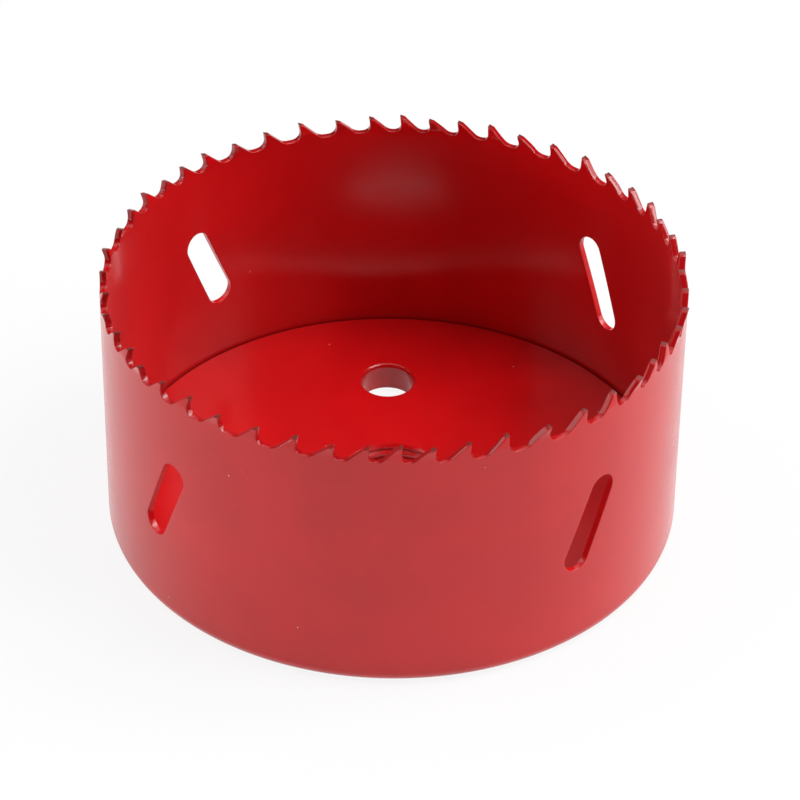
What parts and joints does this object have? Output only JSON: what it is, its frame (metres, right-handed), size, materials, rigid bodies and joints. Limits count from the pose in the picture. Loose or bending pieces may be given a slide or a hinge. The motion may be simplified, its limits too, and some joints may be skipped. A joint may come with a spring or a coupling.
{
  "type": "hole saw",
  "caption": "Cup-shaped saw with hooked teeth round its rim, slanted side slots and a thick threaded cap for an arbor.",
  "frame": {"origin": "centre of the face that seats against the arbor, on the saw's axis", "axes": "+Z along the saw's axis towards the tooth tips; +X through one drive pin hole, turned back by 2 degrees; -Y is the side seen from the front"},
  "size_m": [0.0853, 0.0856, 0.0418],
  "materials": {
    "cup_wall": "gloss red enamel, sprayed over the teeth too",
    "cap": "gloss red enamel"
  },
  "bodies": {
    "root": {"cup_wall": "cup_wall", "cap": "cap"}
  },
  "joints": []
}
